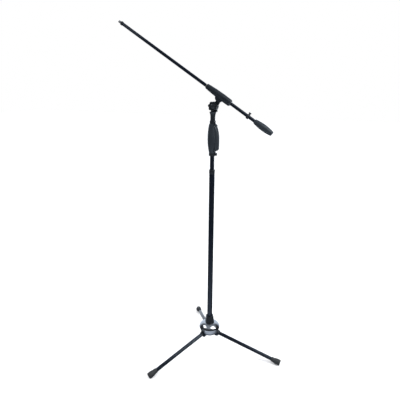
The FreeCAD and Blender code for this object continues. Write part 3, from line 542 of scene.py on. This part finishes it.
def lobed_knob():
    """The tilt knob: seven rounded lobes around a domed middle, on the tilt axis."""
    low, high = [Vector(corner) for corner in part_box("tilt_knob")]
    pivot = middle_of("pivot_bolt")
    bolt = extent("pivot_bolt", Matrix.Translation(pivot) @ Matrix.Rotation(math.pi / 2, 4, "X"))[2]
    place = Matrix.Translation(Vector((pivot.x, 0, pivot.z))) @ Matrix.Rotation(math.pi / 2, 4, "X")
    radius = extent("tilt_knob", place)[2]
    front, back = -low.y, -high.y
    lobes = 7
    lobe = 0.3 * radius
    circle = radius - lobe
    valley = 0.84
    first_lobe = 0.3
    sharpness = 26.0
    bore = bolt + 0.03 * MM

    def outline_at(angle):
        """Radius of the lobed outline over its largest, with soft valleys."""
        turn = 2 * math.pi / lobes
        off = (angle - first_lobe * turn + turn / 2) % turn - turn / 2
        across = circle * math.sin(off)
        bulge = (circle * math.cos(off) + math.sqrt(max(lobe ** 2 - across ** 2, 0.0))) / radius
        return math.log(math.exp(sharpness * bulge) + math.exp(sharpness * valley)) / sharpness

    def lobed(angle, reach, height):
        share = min(1.0, max(0.0, (reach / radius - 0.66) / 0.2))
        return reach * (1 + share * (outline_at(angle) - 1))

    rim = front - 1.6 * MM
    corners = [(0.0, front - 4.0 * MM, 0.0), (bore, front - 4.0 * MM, 0.0),
               (bore, back, 0.0), (radius * 0.62, back, 0.0), (radius * 0.9, back, 0.0),
               (radius * 0.985, back, 1.0 * MM), (radius * 0.985, rim, 2.6 * MM),
               (radius * 0.72, rim + 0.2 * MM, 1.2 * MM), (radius * 0.66, front - 5.2 * MM, 0.8 * MM),
               (radius * 0.62, front - 5.2 * MM, 0.0)]
    outline = soften(corners, 6)
    dome = radius * 0.6
    rise = 4.8 * MM
    ball = (dome ** 2 + rise ** 2) / (2 * rise)
    for step in range(15):
        reach = dome * math.cos(math.pi / 2 * step / 14)
        outline.append(Vector((reach if step < 14 else 0.0,
                               front - ball + math.sqrt(ball ** 2 - reach ** 2))))
    piece = lathe("tilt_knob_lobed", outline, place, 196, lobed)
    stand_in(piece, "tilt_knob", "knob", "black_plastic")


for foot_number in (1, 2, 3):
    foot(foot_number)
threaded_stud()
return_spring()
lobed_knob()

# Edge rounding of the CAD nodes, in millimetres; the rest get the plain value.
ROUNDING = {
    "grip_shell_near": 0.35, "grip_shell_far": 0.35, "squeeze_lever": 0.6, "boom_clamp": 0.7,
    "post_boot": 0.6, "neck_yoke": 0.8, "grip_cap": 0.6, "grip_lower_ring": 1.0, "tube_collar": 0.3,
    "hub_dome": 0.3, "hub_bowl": 0.3, "cable_clip": 0.4, "clip_screw": 0.6, "tip_collar": 0.3,
    "counterweight_cover": 0.5, "inner_tube": 0.2, "boom_tube": 0.2, "clamp_end_ring": 0.3,
}
PLAIN_ROUNDING = 0.25
# Nodes that a finer piece stands for.
REPLACED = ("rod_spring", "tilt_knob", "tip_stud", "foot_1", "foot_2", "foot_3")
# Nodes given a shaded copy of their slot's finish: painted shade, as a darker colour on the clamp and
# weaker reflections on the boom.
OWN_LOOK = {"boom_clamp": "shaded_clamp_slate", "boom_tube": "shaded_boom_paint"}
# Nodes with slivers that a full-width rounding would pull into spikes.
HELD = ("squeeze_lever", "grip_shell_near", "grip_shell_far", "boom_clamp")
for node_name, node_piece in NODES.items():
    if node_name not in REPLACED:
        round_edges(node_name, ROUNDING.get(node_name, PLAIN_ROUNDING), node_name in HELD)
    for material_slot in node_piece.material_slots:
        slot_name = OWN_LOOK.get(node_name, material_slot.material.name.split(".")[0])
        material_slot.material = MATERIALS[slot_name]


# ---------------------------------------------------------------- studio

VIEW_TURN = math.radians(19.3)
TOWARD_CAMERA = Vector((math.sin(VIEW_TURN), -math.cos(VIEW_TURN), 0))


def camera():
    """The camera, level with the sleeve and looking down, swung about the post by VIEW_TURN."""
    distance, height = 1.6151, 1.1761
    pitch, yaw, roll = (math.radians(angle) for angle in (15.816, -1.711, -0.4356))
    forward = Vector((math.sin(yaw) * math.cos(pitch), math.cos(yaw) * math.cos(pitch),
                      -math.sin(pitch)))
    level = Vector((math.cos(yaw), -math.sin(yaw), 0))
    upright = level.cross(forward)
    right = level * math.cos(roll) - upright * math.sin(roll)
    up = level * math.sin(roll) + upright * math.cos(roll)
    pose = Matrix((right, up, -forward)).transposed().to_4x4()
    pose.translation = Vector((0, -distance, height))
    data = bpy.data.cameras.new("camera")
    data.sensor_width = 36
    data.lens = data.sensor_width
    data.clip_start = 0.01
    item = bpy.data.objects.new("camera", data)
    item.matrix_world = (Matrix.Translation(Vector((post_middle.x, post_middle.y, 0)))
                         @ Matrix.Rotation(VIEW_TURN, 4, "Z") @ pose)
    bpy.context.collection.objects.link(item)
    bpy.context.scene.camera = item


LIGHT_AIM = Vector((0, 0, 0.6))
LIGHT_REACH = 2.4


def softbox(name, azimuth, elevation, width, height, power):
    """A soft light; azimuth is to the right of the camera's side, in degrees."""
    data = bpy.data.lights.new(name, "AREA")
    data.shape = "RECTANGLE"
    data.size = width
    data.size_y = height
    data.energy = power
    turn = VIEW_TURN + math.radians(azimuth)
    rise = math.radians(elevation)
    way = Vector((math.sin(turn) * math.cos(rise), -math.cos(turn) * math.cos(rise), math.sin(rise)))
    item = bpy.data.objects.new(name, data)
    item.location = LIGHT_AIM + way * LIGHT_REACH
    item.rotation_euler = way.to_track_quat("Z", "Y").to_euler()
    bpy.context.collection.objects.link(item)


def studio_world():
    """White to the camera, even light for matt surfaces, a dark room with pale paper for glossy ones."""
    world = bpy.data.worlds.new("studio")
    world.use_nodes = True
    g = Graph(world.node_tree)
    way = g.node("TexCoord").outputs["Generated"]
    near = g.vector("DOT_PRODUCT", way, TOWARD_CAMERA)
    rise = g.node("SeparateXYZ", Vector=way).outputs["Z"]

    # What a mirror sees: paper before and below, the lit backdrop behind, a dim ceiling, a dark room.
    paper = g.calc("MULTIPLY", g.span(rise, -0.2, -0.8, 0.0, 0.9), g.span(near, -0.3, 0.5))
    backdrop = g.calc("MULTIPLY", g.span(rise, -0.75, -0.3, 0.0, 1.1), g.span(near, -0.42, -0.86))
    ceiling = g.span(rise, 0.45, 0.9, 0.0, 0.30)
    dark_room = 0.035
    mirrored = g.calc("MAXIMUM", g.calc("MAXIMUM", paper, backdrop), ceiling)
    mirrored = g.calc("MAXIMUM", mirrored, dark_room)

    # What lights a matt surface: mostly the front and the top.
    front = g.span(near, -0.5, 0.9, 0.0, 1.25)
    above = g.span(rise, 0.0, 1.0, 0.0, 0.7)
    all_round = 0.3
    soft = g.calc("ADD", g.calc("ADD", front, above), all_round)

    path = g.node("LightPath").outputs
    room = g.mix(path["Is Glossy Ray"], g.tinted(soft, (0.97, 0.985, 1.0)),
                 g.tinted(mirrored, (0.90, 0.98, 1.10)))
    seen = g.mix(path["Is Camera Ray"], room, rgb(1.0, 1.0, 1.0))
    g.node("OutputWorld", Surface=g.node("Background", Color=seen).outputs[0])
    bpy.context.scene.world = world


def floor():
    """A plain pale floor under the feet, unseen in reflections."""
    mesh = bmesh.new()
    half_width = 14.0
    bmesh.ops.create_grid(mesh, x_segments=8, y_segments=8, size=half_width)
    item = finish_mesh("floor", mesh)
    item.location.z = cad_box[0].z - 0.1 * MM
    s = Shader("pale_floor")
    mottled = s.noise(3, 4)
    s.set(Base_Color=s.mix(mottled, rgb(0.90, 0.90, 0.91), rgb(0.94, 0.94, 0.945)), Roughness=0.9,
          Specular_IOR_Level=0.0)
    s.set(Normal=s.bump(s.noise(300, 3), 0.05))
    item.data.materials.append(s.material)
    item.visible_glossy = False


camera()
studio_world()
floor()
softbox("left_box", -86, 47, 1.6, 0.9, 13)
softbox("right_box", 58, 44, 1.7, 2.0, 30)
softbox("low_box", 68, 20, 0.5, 0.5, 9)
bpy.context.scene.view_settings.view_transform = "Standard"
